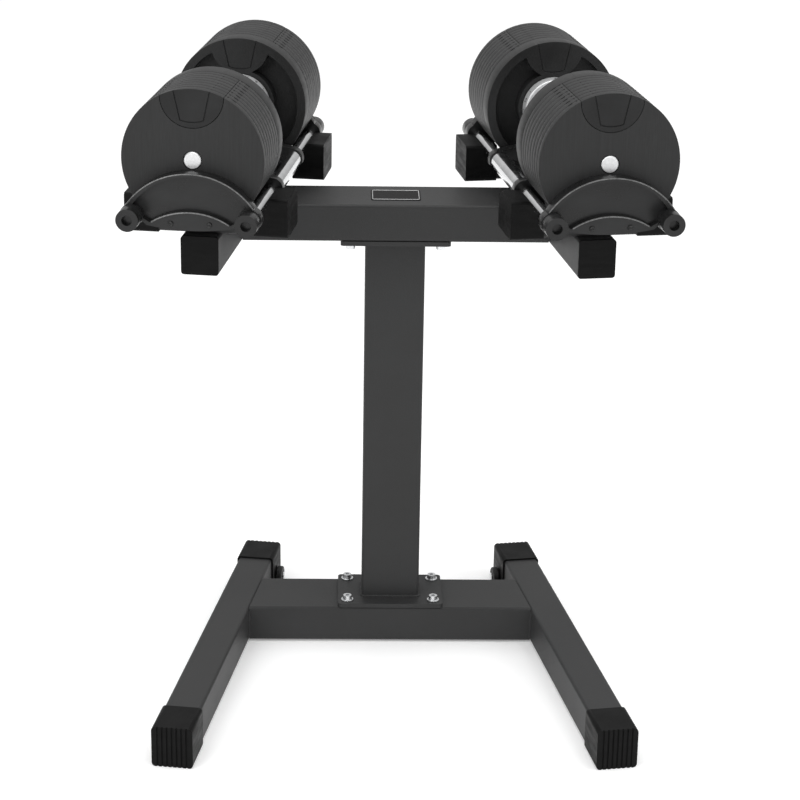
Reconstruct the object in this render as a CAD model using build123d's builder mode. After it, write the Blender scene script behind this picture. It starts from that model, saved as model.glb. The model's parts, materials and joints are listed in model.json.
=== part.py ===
"""Pair of twist-select adjustable dumbbells on their floor stand, as separate named pieces.

Millimetres, +Z up, +Y to the rear, origin on the floor under the middle of the overall box.
Each side of the stand (left is -X, right is +X) has its own frame: "inward" runs towards the
column, "rearward" runs along the splayed foot and bar, "height" is Z.
"""

import os
from collections import namedtuple
from math import cos, radians, sin, sqrt

from build123d import *

# ---- Stand, overall -------------------------------------------------------------------------
foot_splay = 9.2             # each foot turns outward at the front, degrees
foot_spacing = 213.0         # column axis to the middle of a foot
foot_front_reach = 418.0     # crossbar axis to the front face of a foot cap
foot_rear_reach = 178.0      # crossbar axis to the rear face of a foot cap
bar_splay = 8.4              # each support bar turns outward at the front, degrees
bar_spacing = 219.0          # column axis to the middle of a support bar
column_length = 518.5        # between the two column plates

# ---- Tubes ----------------------------------------------------------------------------------
foot_width = 48.0
foot_height = 50.0
crossbar_depth = 100.0
crossbar_height = 50.0
column_width = 80.0
column_depth = 50.0
bar_width = 48.0
bar_height = 50.0
bar_front_reach = 208.0      # crossbar axis to the front plug's face
bar_rear_reach = 188.0
tube_wall = 2.0
tube_corner = 4.0            # outside corner radius of every tube

# ---- Foot caps and transport rollers ----------------------------------------------------------
cap_wall = 2.5
cap_end = 7.0
cap_length = 60.0
cap_corner = 5.5
cap_ribs = 8
cap_rib_pitch = 6.2
cap_groove_width = 2.2
cap_groove_depth = 1.6
roller_radius = 14.0
roller_width = 9.0
roller_lift = 2.0            # clear of the floor until the stand is tipped back
roller_bore_clearance = 0.08
roller_axle_radius = 3.0
roller_axle_head = 1.5
roller_axle_head_radius = 6.0
roller_gap = 0.6             # beside the cap and beside the axle head
roller_inset = 32.0          # from the rear face of the cap

# ---- Column plates and their fasteners --------------------------------------------------------
plate_width = 146.0
plate_depth = 100.0
plate_thickness = 6.0
plate_corner = 5.0
bolt_spacing_x = 120.0
bolt_spacing_y = 72.0
bolt_radius = 4.0
bolt_hole_clearance = 0.5
bolt_head_radius = 6.5
bolt_head_height = 5.5
bolt_socket_width = 5.0      # across flats
bolt_socket_depth = 3.0
bolt_end = 2.0               # thread showing past the nut
washer_radius = 8.5
washer_thickness = 1.6
nut_width = 13.0             # across flats
nut_height = 6.5
thread_clearance = 0.05

# ---- Support bar plugs ------------------------------------------------------------------------
plug_flange = 3.0
plug_stem = 18.0

# ---- Cross rests on the support bars ----------------------------------------------------------
rest_gap = 0.5               # front rest's block to the rod sleeves, lengthwise
rest_bracket_gap = 1.5       # rear rest's block to the rear bracket
rest_inset = 5.0             # rest and cradle centre line, inward of the bar's
rest_half_length = 104.0     # out to the end of its block
rest_depth = 70.0
rest_height = 20.0
rest_corner = 3.0
block_wall = 2.0
block_end = 5.0
block_length = 43.0
block_rise = 27.5            # block top above the rest tube
saddle_depth = 10.0          # the cradle rods lie this deep in the tops of the blocks
block_corner = 4.0

# ---- Cradle -----------------------------------------------------------------------------------
cradle_centre = -47.0        # middle of the dumbbell along the bar
rod_radius = 7.5
rod_half_spacing = 72.8
rod_plate_gap = 3.7          # between a rod and the rim of the plates
rod_in_knob = 14.4
sleeve_radius = 13.0
knob_radius = 14.0
knob_length = 23.0
knob_recess_radius = 6.5
knob_recess_depth = 8.0
bracket_thickness = 18.0
bracket_gap = 1.0            # between the outer plate and the end bracket
bracket_boss_radius = 14.5
bracket_crown = 11.5         # top of the end bracket below the dumbbell axis
bracket_shoulder = 13.0      # height of the arch ends above the rods
bracket_shoulder_reach = 79.5
bracket_lip_drop = 15.5      # lowest point of the lip below the rods
bracket_lip_side_drop = 10.5
bracket_lip_half_width = 54.0
bracket_rim = 4.5
bracket_dish_depth = 8.0
bracket_dish_floor = 8.0     # crown of the dish's lower edge above the rods
bracket_dish_half_width = 50.0
bracket_dish_side_drop = 7.0
mid_bracket_inner = 70.0     # dumbbell centre to the inner face of a mid bracket
mid_bracket_thickness = 14.0
mid_bracket_gap = 3.0        # under the dial ring
mid_arch_underside = 4.0     # above the rods
mid_clip_drop = 5.0          # a mid bracket's clip ends this far below the rod's centre
screw_head_radius = 3.6
screw_head_height = 1.8
screw_shank_radius = 1.8
screw_length = 9.0
screw_half_spacing = 24.0
screw_drop = 7.0             # screws below the rods
screw_slot_width = 1.0
screw_slot_depth = 0.9

# ---- Dumbbell ---------------------------------------------------------------------------------
weight_radius = 88.0
weight_count = 8             # plates at each end
weight_pitch = 12.5
weight_gap = 0.6
plate_bore_clearance = 0.7   # round the selector bar, which only the castings guide
casting_inner = 89.3         # dumbbell centre to the inner face of an end casting
casting_thickness = 30.0
casting_gap = 0.3
casting_rim = 11.0
casting_web = 9.0            # left behind the pocket
casting_hub_radius = 46.0
casting_rib_width = 24.0
insert_radius = 39.0         # D-shaped insert at the top of every plate
insert_centre = 79.0         # above the dumbbell axis
insert_gap = 0.6
tongue_top_half_width = 23.5  # at the plate's rim
tongue_bottom_half_width = 15.0
tongue_depth = 39.0
tongue_sag = 2.5             # of the rounded lower edge
tongue_groove_width = 1.4
tongue_groove_depth = 1.4
grip_radius = 17.0
grip_wall = 4.5
grip_half_length = 75.0
dial_radius = 41.0
dial_inner = 69.0
dial_outer = 88.7
dial_fillet = 2.0
spigot_radius = 20.0
spigot_end_gap = 0.6
spigot_clearance = 0.08
selector_radius = 11.0
selector_bore_radius = 6.6
selector_clearance = 0.06
selector_travel = 88.0
selector_proud = 0.4         # past the outer plate at full extension
selector_web_gap = 0.8       # from the spindle's web at full retraction
selector_end = 8.0
selector_chamfer = 1.2
spindle_radius = 6.0
spindle_half_length = 108.0
spindle_web = 1.2            # half thickness of the disc that ties the spindle to the grip
plunger_radius = 4.0
plunger_length = 26.0
plunger_proud = 1.5
plunger_travel = 5.0
plunger_clearance = 0.06
plunger_head_room = 2.0
strike_gap = 0.5
strike_width = 24.0
strike_length = 16.0

# ---- Badge ------------------------------------------------------------------------------------
badge_width = 66.0
badge_depth = 50.0
badge_thickness = 0.8
badge_corner = 3.0

# ---- Worked out from the above -----------------------------------------------------------------
Side = namedtuple("Side", "sign spacing splay")
FEET = {
    "left": Side(-1, foot_spacing, foot_splay),
    "right": Side(1, foot_spacing, foot_splay),
}
BARS = {
    "left": Side(-1, bar_spacing, bar_splay),
    "right": Side(1, bar_spacing, bar_splay),
}
FRONT = -1
REAR = 1
ENDS = {"front": FRONT, "rear": REAR}

foot_bottom = cap_wall
base_plate_bottom = foot_bottom + crossbar_height
base_plate_top = base_plate_bottom + plate_thickness
column_top = base_plate_top + column_length
top_plate_top = column_top + plate_thickness
bar_bottom = top_plate_top
bar_top = bar_bottom + bar_height
rest_top = bar_top + rest_height
block_top = rest_top + block_rise
rod_height = block_top + rod_radius - saddle_depth
axis_above_rods = sqrt((weight_radius + rod_radius + rod_plate_gap) ** 2 - rod_half_spacing**2)
axis_height = rod_height + axis_above_rods
stack_outer = casting_inner + casting_thickness + casting_gap + weight_count * weight_pitch
weight_thickness = weight_pitch - weight_gap
bracket_inner = stack_outer + bracket_gap
bracket_outer = bracket_inner + bracket_thickness
rod_half_length = bracket_outer + rod_in_knob
grip_bore = grip_radius - grip_wall
selector_outer = stack_outer + selector_proud
selector_length = selector_outer - selector_travel - selector_web_gap - spindle_web
insert_cut_radius = insert_radius + insert_gap
block_half_depth = rest_depth / 2 + block_wall
rest_front = cradle_centre - mid_bracket_inner - rest_gap - block_half_depth
rest_rear = cradle_centre + bracket_inner - rest_bracket_gap - block_half_depth
rest_places = (rest_front, rest_rear)

# The overall box runs from the front corners of the foot caps to the rear knobs.
foot_turn = radians(foot_splay)
bar_turn = radians(bar_splay)
cap_side = foot_width / 2 + cap_wall
box_front = foot_front_reach * cos(foot_turn) + cap_side * sin(foot_turn)
knob_reach = cradle_centre + bracket_outer + knob_length
knob_offset = rod_half_spacing - rest_inset + knob_radius
box_rear = knob_reach * cos(bar_turn) + knob_offset * sin(bar_turn)
stand_y = (box_front - box_rear) / 2


def side_point(side, inward=0.0, rearward=0.0, height=0.0):
    """A point given in one side's own frame."""
    turn = radians(side.splay) * side.sign
    across = -side.sign * inward
    x = side.sign * side.spacing + across * cos(turn) - rearward * sin(turn)
    y = stand_y + across * sin(turn) + rearward * cos(turn)
    return (x, y, height)


def across_direction(side):
    turn = radians(side.splay) * side.sign
    return (cos(turn), sin(turn), 0)


def rear_direction(side):
    turn = radians(side.splay) * side.sign
    return (-sin(turn), cos(turn), 0)


def level_plane(side, inward=0.0, rearward=0.0, height=0.0):
    """Horizontal plane turned with the side: local X across, local Y rearward."""
    return Plane(
        origin=side_point(side, inward, rearward, height),
        x_dir=across_direction(side),
        z_dir=(0, 0, 1),
    )


def end_plane(side, rearward, height, inward=0.0, facing=REAR):
    """Upright plane across the side, its normal to the front or to the rear, local Y up."""
    rear = rear_direction(side)
    across = across_direction(side)
    return Plane(
        origin=side_point(side, inward, rearward, height),
        x_dir=tuple(-facing * part for part in across),
        z_dir=tuple(facing * part for part in rear),
    )


def side_plane(side, inward, rearward, height):
    """Upright plane along the side, its normal inward, local Y up."""
    inward_direction = tuple(-side.sign * part for part in across_direction(side))
    return Plane(
        origin=side_point(side, inward, rearward, height),
        x_dir=tuple(-side.sign * part for part in rear_direction(side)),
        z_dir=inward_direction,
    )


def save(builder, name):
    builder.part.label = name
    export_step(builder.part, f"parts/{name}.step")


def tube_section(width, height):
    """Rounded box section, for use inside a sketch."""
    RectangleRounded(width, height, tube_corner)
    inner_corner = tube_corner - tube_wall
    RectangleRounded(
        width - 2 * tube_wall, height - 2 * tube_wall, inner_corner, mode=Mode.SUBTRACT
    )


os.makedirs("parts", exist_ok=True)


# ---- Feet ---------------------------------------------------------------------------------------
def foot_tube(side, name):
    front = -foot_front_reach + cap_end
    length = foot_front_reach + foot_rear_reach - 2 * cap_end
    with BuildPart() as tube:
        with BuildSketch(end_plane(side, front, foot_bottom + foot_height / 2)):
            tube_section(foot_width, foot_height)
        extrude(amount=length)
    save(tube, name)


def foot_cap(side, end, name):
    """Sleeve with a ribbed closed end, pushed over the end of a foot tube."""
    reach = foot_front_reach if end == FRONT else foot_rear_reach
    middle = foot_bottom + foot_height / 2
    width = foot_width + 2 * cap_wall
    height = foot_height + 2 * cap_wall
    face = end_plane(side, end * reach, middle, facing=end)
    seat = end_plane(side, end * (reach - cap_end), middle, facing=end)
    with BuildPart() as cap:
        with BuildSketch(face):
            RectangleRounded(width, height, cap_corner)
        extrude(amount=-cap_length)
        with BuildSketch(seat):
            RectangleRounded(foot_width, foot_height, tube_corner)
        extrude(amount=-(cap_length - cap_end), mode=Mode.SUBTRACT)
        with BuildSketch(face):
            with GridLocations(cap_rib_pitch, 0, cap_ribs - 1, 1):
                Rectangle(cap_groove_width, height)
        extrude(amount=-cap_groove_depth, mode=Mode.SUBTRACT)
    save(cap, name)


for side_name, side in FEET.items():
    foot_tube(side, f"{side_name}_foot_tube")
    for end_name, end in ENDS.items():
        foot_cap(side, end, f"{side_name}_{end_name}_foot_cap")

# ---- Transport rollers on the inner side of the rear caps -----------------------------------------
roller_height = roller_lift + roller_radius
roller_rearward = foot_rear_reach - roller_inset


def roller(side, name):
    """Wheel with a rounded tread, on a pin that sticks out of the cap."""
    with BuildPart() as wheel:
        with BuildSketch(
            side_plane(side, cap_side + roller_gap, roller_rearward, roller_height)
        ):
            Circle(roller_radius)
            Circle(roller_axle_radius + roller_bore_clearance, mode=Mode.SUBTRACT)
        extrude(amount=roller_width)
        rim = wheel.edges().filter_by(GeomType.CIRCLE).sort_by(SortBy.RADIUS)[-2:]
        fillet(rim, roller_width / 4)
    save(wheel, name)


for side_name, side in FEET.items():
    roller(side, f"{side_name}_roller")

with BuildPart() as roller_axles:
    for side in FEET.values():
        with BuildSketch(side_plane(side, cap_side, roller_rearward, roller_height)):
            Circle(roller_axle_radius)
        extrude(amount=roller_width + 2 * roller_gap)
        head = cap_side + roller_width + 2 * roller_gap
        with BuildSketch(side_plane(side, head, roller_rearward, roller_height)):
            Circle(roller_axle_head_radius)
        extrude(amount=roller_axle_head)
save(roller_axles, "roller_axles")


# ---- Crossbars, cut to the splay of the feet and bars ----------------------------------------------
def crossbar(sides, height, half_width, hole_height, name):
    """Level box tube between the two side members, with four bolt holes in one wall."""
    with BuildPart() as bar:
        with BuildSketch(Plane.YZ.offset(-sides["left"].spacing)):
            with Locations((stand_y, height + crossbar_height / 2)):
                tube_section(crossbar_depth, crossbar_height)
        extrude(amount=2 * sides["left"].spacing)
        for side in sides.values():
            across = across_direction(side)
            cut = Plane(
                origin=side_point(side, half_width, 0, height),
                z_dir=tuple(side.sign * part for part in across),
            )
            split(bisect_by=cut, keep=Keep.BOTTOM)
        with BuildSketch(Plane.XY.offset(hole_height)):
            with Locations((0, stand_y)):
                with GridLocations(bolt_spacing_x, bolt_spacing_y, 2, 2):
                    Circle(bolt_radius + bolt_hole_clearance)
        extrude(amount=tube_wall, mode=Mode.SUBTRACT)
    save(bar, name)


crossbar(FEET, foot_bottom, foot_width / 2, base_plate_bottom - tube_wall, "base_crossbar")
crossbar(BARS, bar_bottom, bar_width / 2, bar_bottom, "top_crossbar")

# ---- Column with its two plates ---------------------------------------------------------------------
with BuildPart() as column:
    with BuildSketch(Plane.XY.offset(base_plate_top)):
        with Locations((0, stand_y)):
            tube_section(column_width, column_depth)
    extrude(amount=column_length)
save(column, "column")


def column_plate(height, name):
    with BuildPart() as plate:
        with BuildSketch(Plane.XY.offset(height)):
            with Locations((0, stand_y)):
                RectangleRounded(plate_width, plate_depth, plate_corner)
                with GridLocations(bolt_spacing_x, bolt_spacing_y, 2, 2):
                    Circle(bolt_radius + bolt_hole_clearance, mode=Mode.SUBTRACT)
        extrude(amount=plate_thickness)
    save(plate, name)


column_plate(base_plate_bottom, "column_base_plate")
column_plate(column_top, "column_top_plate")

# ---- Fasteners: four down into the base crossbar, four up into the top crossbar -----------------------
# Each stack starts on the outer face of its plate: washer and head outside, nut inside the tube.
bolt_grip = plate_thickness + tube_wall
fastener_seats = ((base_plate_top, 1), (column_top, -1))


def bolt_places(height):
    return [
        (x * bolt_spacing_x / 2, stand_y + y * bolt_spacing_y / 2, height)
        for x in (-1, 1)
        for y in (-1, 1)
    ]


def fastener_plane(point, outward):
    return Plane(origin=point, x_dir=(1, 0, 0), z_dir=(0, 0, outward))


with BuildPart() as frame_bolts:
    for seat, outward in fastener_seats:
        for point in bolt_places(seat):
            head_seat = fastener_plane(point, outward).offset(washer_thickness)
            with BuildSketch(head_seat):
                Circle(bolt_head_radius)
            extrude(amount=bolt_head_height, taper=8)
            with BuildSketch(head_seat):
                Circle(bolt_radius)
            extrude(amount=-(washer_thickness + bolt_grip + nut_height + bolt_end))
            with BuildSketch(head_seat.offset(bolt_head_height)):
                RegularPolygon(bolt_socket_width / 2, 6, major_radius=False)
            extrude(amount=-bolt_socket_depth, mode=Mode.SUBTRACT)
save(frame_bolts, "frame_bolts")

with BuildPart() as frame_washers:
    for seat, outward in fastener_seats:
        for point in bolt_places(seat):
            with BuildSketch(fastener_plane(point, outward)):
                Circle(washer_radius)
                Circle(bolt_radius + bolt_hole_clearance, mode=Mode.SUBTRACT)
            extrude(amount=washer_thickness)
save(frame_washers, "frame_washers")

with BuildPart() as frame_nuts:
    for seat, outward in fastener_seats:
        for point in bolt_places(seat):
            with BuildSketch(fastener_plane(point, outward).offset(-bolt_grip)):
                RegularPolygon(nut_width / 2, 6, major_radius=False)
                Circle(bolt_radius + thread_clearance, mode=Mode.SUBTRACT)
            extrude(amount=-nut_height)
save(frame_nuts, "frame_nuts")


# ---- Support bars and their end plugs ------------------------------------------------------------------
def support_bar(side, name):
    front = -bar_front_reach + plug_flange
    length = bar_front_reach + bar_rear_reach - 2 * plug_flange
    with BuildPart() as bar:
        with BuildSketch(end_plane(side, front, bar_bottom + bar_height / 2)):
            tube_section(bar_width, bar_height)
        extrude(amount=length)
    save(bar, name)


for side_name, side in BARS.items():
    support_bar(side, f"{side_name}_support_bar")

with BuildPart() as bar_plugs:
    for side in BARS.values():
        for end, reach in ((FRONT, bar_front_reach), (REAR, bar_rear_reach)):
            middle = bar_bottom + bar_height / 2
            seat = end_plane(side, end * (reach - plug_flange), middle, facing=end)
            with BuildSketch(seat):
                RectangleRounded(bar_width, bar_height, tube_corner)
            extrude(amount=plug_flange)
            with BuildSketch(seat):
                RectangleRounded(
                    bar_width - 2 * tube_wall,
                    bar_height - 2 * tube_wall,
                    tube_corner - tube_wall,
                )
            extrude(amount=-plug_stem)
save(bar_plugs, "bar_plugs")


# ---- Cross rests: a flat tube on each bar, with a raised block on each end ------------------------------
def cradle_plane(side, end, distance, across=0.0, height=rod_height):
    """Upright plane at a distance from the dumbbell's middle, facing its own end."""
    return end_plane(
        side,
        cradle_centre + end * distance,
        height,
        inward=rest_inset + across,
        facing=end,
    )


def cross_rests(side, name):
    with BuildPart() as rests:
        for place in rest_places:
            start = rest_inset - rest_half_length + block_end
            middle = bar_top + rest_height / 2
            with BuildSketch(side_plane(side, start, place, middle)):
                RectangleRounded(rest_depth, rest_height, rest_corner)
                RectangleRounded(
                    rest_depth - 2 * tube_wall,
                    rest_height - 2 * tube_wall,
                    rest_corner - tube_wall,
                    mode=Mode.SUBTRACT,
                )
            extrude(amount=2 * (rest_half_length - block_end))
    save(rests, name)


def rest_blocks(side, name):
    """Black blocks: each sleeves over a rest tube's end and has a saddle for a cradle rod on top.

    The front blocks are notched where a mid bracket's clips come down over the rods.
    """
    low = bar_top - block_wall
    height = block_top - low
    with BuildPart() as blocks:
        for place in rest_places:
            for end in (-1, 1):
                outer = rest_inset + end * rest_half_length
                inner = rest_inset + end * (rest_half_length - block_length)
                seat = rest_inset + end * (rest_half_length - block_end)
                start = min(outer, inner)
                with BuildSketch(side_plane(side, start, place, low + height / 2)):
                    RectangleRounded(rest_depth + 2 * block_wall, height, block_corner)
                extrude(amount=block_length)
                pocket = min(seat, inner)
                with BuildSketch(side_plane(side, pocket, place, bar_top + rest_height / 2)):
                    RectangleRounded(rest_depth, rest_height, rest_corner)
                extrude(amount=block_length - block_end, mode=Mode.SUBTRACT)
        for across in (-rod_half_spacing, rod_half_spacing):
            with BuildSketch(cradle_plane(side, REAR, -rod_half_length, across)):
                Circle(rod_radius)
            extrude(amount=2 * rod_half_length, mode=Mode.SUBTRACT)
        notch_floor = rod_height - mid_clip_drop - rest_gap
        with BuildSketch(cradle_plane(side, FRONT, mid_bracket_inner, height=notch_floor)):
            Rectangle(4 * rod_half_spacing, block_rise, align=(Align.CENTER, Align.MIN))
        extrude(amount=mid_bracket_thickness + rest_gap, mode=Mode.SUBTRACT)
    save(blocks, name)


for side_name, side in BARS.items():
    cross_rests(side, f"{side_name}_cross_rests")
    rest_blocks(side, f"{side_name}_rest_blocks")

# ---- Badge on the top crossbar --------------------------------------------------------------------------
with BuildPart() as badge_plate:
    with BuildSketch(Plane.XY.offset(bar_top)):
        with Locations((0, stand_y)):
            RectangleRounded(badge_width, badge_depth, badge_corner)
    extrude(amount=badge_thickness)
save(badge_plate, "badge_plate")


# ---- Cradle ---------------------------------------------------------------------------------------------
with BuildPart() as cradle_rods:
    for side in BARS.values():
        for across in (-rod_half_spacing, rod_half_spacing):
            with BuildSketch(cradle_plane(side, REAR, -rod_half_length, across)):
                Circle(rod_radius)
            extrude(amount=2 * rod_half_length)
save(cradle_rods, "cradle_rods")

with BuildPart() as rod_sleeves:
    for side in BARS.values():
        for across in (-rod_half_spacing, rod_half_spacing):
            with BuildSketch(cradle_plane(side, REAR, -mid_bracket_inner, across)):
                Circle(sleeve_radius)
                Circle(rod_radius, mode=Mode.SUBTRACT)
            extrude(amount=2 * mid_bracket_inner)
save(rod_sleeves, "rod_sleeves")


def rod_knobs(side, name):
    """Round nuts that close the ends of the rods, each with a round recess in its face."""
    rod_end = rod_half_length - bracket_outer
    with BuildPart() as knobs:
        for end in ENDS.values():
            for across in (-rod_half_spacing, rod_half_spacing):
                seat = cradle_plane(side, end, bracket_outer, across)
                with BuildSketch(seat):
                    Circle(knob_radius)
                extrude(amount=knob_length)
                with BuildSketch(seat):
                    Circle(rod_radius)
                extrude(amount=rod_end, mode=Mode.SUBTRACT)
                with BuildSketch(seat.offset(knob_length)):
                    Circle(knob_recess_radius)
                extrude(amount=-knob_recess_depth, mode=Mode.SUBTRACT)
    save(knobs, name)


crown_above_rods = axis_above_rods - bracket_crown


def end_bracket(side, end, name):
    """Arched plastic yoke across the two rods, dished on its outer face, with a lower lip."""
    seat = cradle_plane(side, end, bracket_inner)
    face = cradle_plane(side, end, bracket_outer)
    shoulder = (bracket_shoulder_reach, bracket_shoulder)
    lip = (bracket_lip_half_width, -bracket_lip_side_drop)
    dish_top = crown_above_rods - bracket_rim
    dish_shoulder = (bracket_shoulder_reach - bracket_rim, bracket_shoulder - bracket_rim)
    dish_lip = (bracket_dish_half_width, -bracket_dish_side_drop)
    rods = [(-rod_half_spacing, 0), (rod_half_spacing, 0)]
    with BuildPart() as bracket:
        with BuildSketch(seat):
            with BuildLine():
                ThreePointArc((-shoulder[0], shoulder[1]), (0, crown_above_rods), shoulder)
                Line(shoulder, lip)
                ThreePointArc(lip, (0, -bracket_lip_drop), (-lip[0], lip[1]))
                Line((-lip[0], lip[1]), (-shoulder[0], shoulder[1]))
            make_face()
            with Locations(*rods):
                Circle(bracket_boss_radius)
            with Locations(*rods):
                Circle(rod_radius, mode=Mode.SUBTRACT)
        extrude(amount=bracket_thickness)
        with BuildSketch(face):
            with BuildLine():
                ThreePointArc(
                    (-dish_shoulder[0], dish_shoulder[1]), (0, dish_top), dish_shoulder
                )
                Line(dish_shoulder, dish_lip)
                ThreePointArc(
                    dish_lip, (0, bracket_dish_floor), (-dish_lip[0], dish_lip[1])
                )
                Line((-dish_lip[0], dish_lip[1]), (-dish_shoulder[0], dish_shoulder[1]))
            make_face()
            with Locations(*rods):
                Circle(bracket_boss_radius, mode=Mode.SUBTRACT)
        extrude(amount=-bracket_dish_depth, mode=Mode.SUBTRACT)
        with BuildSketch(face):
            with Locations((-screw_half_spacing, -screw_drop), (screw_half_spacing, -screw_drop)):
                Circle(screw_shank_radius)
        extrude(amount=-screw_length, mode=Mode.SUBTRACT)
    save(bracket, name)


def mid_brackets(side, name):
    """Two flatter yokes beside the grip, clipped down over the rods."""
    crown = axis_above_rods - dial_radius - mid_bracket_gap
    outline_reach = rod_half_spacing + bracket_boss_radius
    with BuildPart() as brackets:
        for end in ENDS.values():
            with BuildSketch(cradle_plane(side, end, mid_bracket_inner)):
                with BuildLine():
                    ThreePointArc(
                        (-bracket_shoulder_reach, bracket_shoulder),
                        (0, crown),
                        (bracket_shoulder_reach, bracket_shoulder),
                    )
                    Line(
                        (bracket_shoulder_reach, bracket_shoulder),
                        (bracket_dish_half_width, 0),
                    )
                    ThreePointArc(
                        (bracket_dish_half_width, 0),
                        (0, mid_arch_underside),
                        (-bracket_dish_half_width, 0),
                    )
                    Line(
                        (-bracket_dish_half_width, 0),
                        (-bracket_shoulder_reach, bracket_shoulder),
                    )
                make_face()
                with Locations((-rod_half_spacing, 0), (rod_half_spacing, 0)):
                    Circle(bracket_boss_radius)
                with Locations((0, -mid_clip_drop)):
                    Rectangle(
                        2 * outline_reach,
                        bracket_boss_radius,
                        align=(Align.CENTER, Align.MAX),
                        mode=Mode.SUBTRACT,
                    )
                with Locations((-rod_half_spacing, 0), (rod_half_spacing, 0)):
                    Circle(rod_radius, mode=Mode.SUBTRACT)
            extrude(amount=mid_bracket_thickness)
    save(brackets, name)


for side_name, side in BARS.items():
    rod_knobs(side, f"{side_name}_rod_knobs")
    mid_brackets(side, f"{side_name}_mid_brackets")
    for end_name, end in ENDS.items():
        end_bracket(side, end, f"{side_name}_{end_name}_bracket")

with BuildPart() as bracket_screws:
    for side in BARS.values():
        for end in ENDS.values():
            for across in (-screw_half_spacing, screw_half_spacing):
                screw_height = rod_height - screw_drop
                seat = cradle_plane(side, end, bracket_outer, across, screw_height)
                with BuildSketch(seat):
                    Circle(screw_head_radius)
                extrude(amount=screw_head_height, taper=20)
                with BuildSketch(seat):
                    Circle(screw_shank_radius)
                extrude(amount=-screw_length)
                with BuildSketch(seat.offset(screw_head_height)):
                    Rectangle(2 * screw_head_radius, screw_slot_width)
                extrude(amount=-screw_slot_depth, mode=Mode.SUBTRACT)
save(bracket_screws, "bracket_screws")


# ---- Dumbbells --------------------------------------------------------------------------------------------
def axis_plane(side, end, distance):
    """Upright plane across the dumbbell's axis, facing its own end."""
    return cradle_plane(side, end, distance, height=axis_height)


def tongue_outline():
    """Line of the interlocking tongue, drawn as a groove: sloping sides and a rounded lower edge."""
    bottom = weight_radius - tongue_depth
    top = insert_centre + insert_radius
    slope = (tongue_top_half_width - tongue_bottom_half_width) / tongue_depth
    half_top = tongue_bottom_half_width + slope * (top - bottom)
    half_bottom = tongue_bottom_half_width
    with BuildLine() as outline:
        Polyline((-half_bottom, bottom), (-half_top, top), (half_top, top), (half_bottom, bottom))
        ThreePointArc((half_bottom, bottom), (0, bottom - tongue_sag), (-half_bottom, bottom))
    make_face(outline.edges())
    offset(amount=-tongue_groove_width, mode=Mode.SUBTRACT)


def weight_plates(side, end, name):
    """Discs with a round notch at the top for the insert and a hole for the selector bar."""
    with BuildPart() as plates:
        for count in range(weight_count):
            near = casting_inner + casting_thickness + casting_gap + count * weight_pitch
            with BuildSketch(axis_plane(side, end, near + weight_gap)):
                Circle(weight_radius)
                Circle(selector_radius + plate_bore_clearance, mode=Mode.SUBTRACT)
                with Locations((0, insert_centre)):
                    Circle(insert_cut_radius, mode=Mode.SUBTRACT)
            extrude(amount=weight_thickness)
    save(plates, name)


def plate_inserts(side, name):
    """D-shaped inserts that hang each plate on its neighbour, with the tongue's outline grooved."""
    with BuildPart() as inserts:
        for end in ENDS.values():
            for count in range(weight_count):
                near = casting_inner + casting_thickness + casting_gap + count * weight_pitch
                inner = axis_plane(side, end, near + weight_gap)
                with BuildSketch(inner):
                    Circle(weight_radius)
                    with Locations((0, insert_centre)):
                        Circle(insert_radius, mode=Mode.INTERSECT)
                extrude(amount=weight_thickness)
                with BuildSketch(inner.offset(weight_thickness)):
                    tongue_outline()
                    with Locations((0, insert_centre)):
                        Circle(insert_radius, mode=Mode.INTERSECT)
                extrude(amount=-tongue_groove_depth, mode=Mode.SUBTRACT)
    save(inserts, name)


casting_pocket_depth = casting_thickness - casting_web


def end_casting(side, end, name):
    """Cast end of the handle: rim, hub with a spigot for the dial ring, and a pocket all round."""
    inner = axis_plane(side, end, casting_inner)
    pocket_radius = weight_radius - casting_rim
    spigot_length = casting_inner - grip_half_length - spigot_end_gap
    with BuildPart() as casting:
        with BuildSketch(inner):
            Circle(weight_radius)
        extrude(amount=casting_thickness)
        with BuildSketch(inner):
            Circle(pocket_radius)
            Circle(casting_hub_radius, mode=Mode.SUBTRACT)
            with Locations((0, insert_centre)):
                Circle(insert_radius, mode=Mode.SUBTRACT)
            with Locations((0, -weight_radius)):
                Rectangle(
                    casting_rib_width,
                    weight_radius,
                    align=(Align.CENTER, Align.MIN),
                    mode=Mode.SUBTRACT,
                )
        extrude(amount=casting_pocket_depth, mode=Mode.SUBTRACT)
        with BuildSketch(inner):
            tongue_outline()
            Circle(weight_radius, mode=Mode.INTERSECT)
        extrude(amount=tongue_groove_depth, mode=Mode.SUBTRACT)
        with BuildSketch(inner):
            Circle(spigot_radius)
        extrude(amount=-spigot_length)
        with BuildSketch(axis_plane(side, end, casting_inner - spigot_length)):
            Circle(selector_radius + selector_clearance)
        extrude(amount=spigot_length + casting_thickness, mode=Mode.SUBTRACT)
        if end == FRONT:
            with BuildSketch(plunger_plane(side)):
                Circle(plunger_radius + plunger_clearance)
            extrude(amount=plunger_length + plunger_travel + plunger_head_room, mode=Mode.SUBTRACT)
    save(casting, name)


plunger_distance = casting_inner + casting_thickness / 2


def plunger_plane(side):
    """Level plane at the tip of the lock plunger, under the front casting."""
    return level_plane(
        side,
        inward=rest_inset,
        rearward=cradle_centre + FRONT * plunger_distance,
        height=axis_height - weight_radius - plunger_proud,
    )


def lock_plunger(side, name):
    with BuildPart() as plunger:
        with BuildSketch(plunger_plane(side)):
            Circle(plunger_radius)
        extrude(amount=plunger_length)
        chamfer(plunger.edges().group_by(Axis.Z)[0], plunger_proud / 2)
    save(plunger, name)


def grip(side, name):
    """Tube that the hand turns, open inside for the selector bars."""
    with BuildPart() as tube:
        with BuildSketch(axis_plane(side, REAR, -grip_half_length)):
            Circle(grip_radius)
            Circle(grip_bore, mode=Mode.SUBTRACT)
        extrude(amount=2 * grip_half_length)
    save(tube, name)


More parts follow.
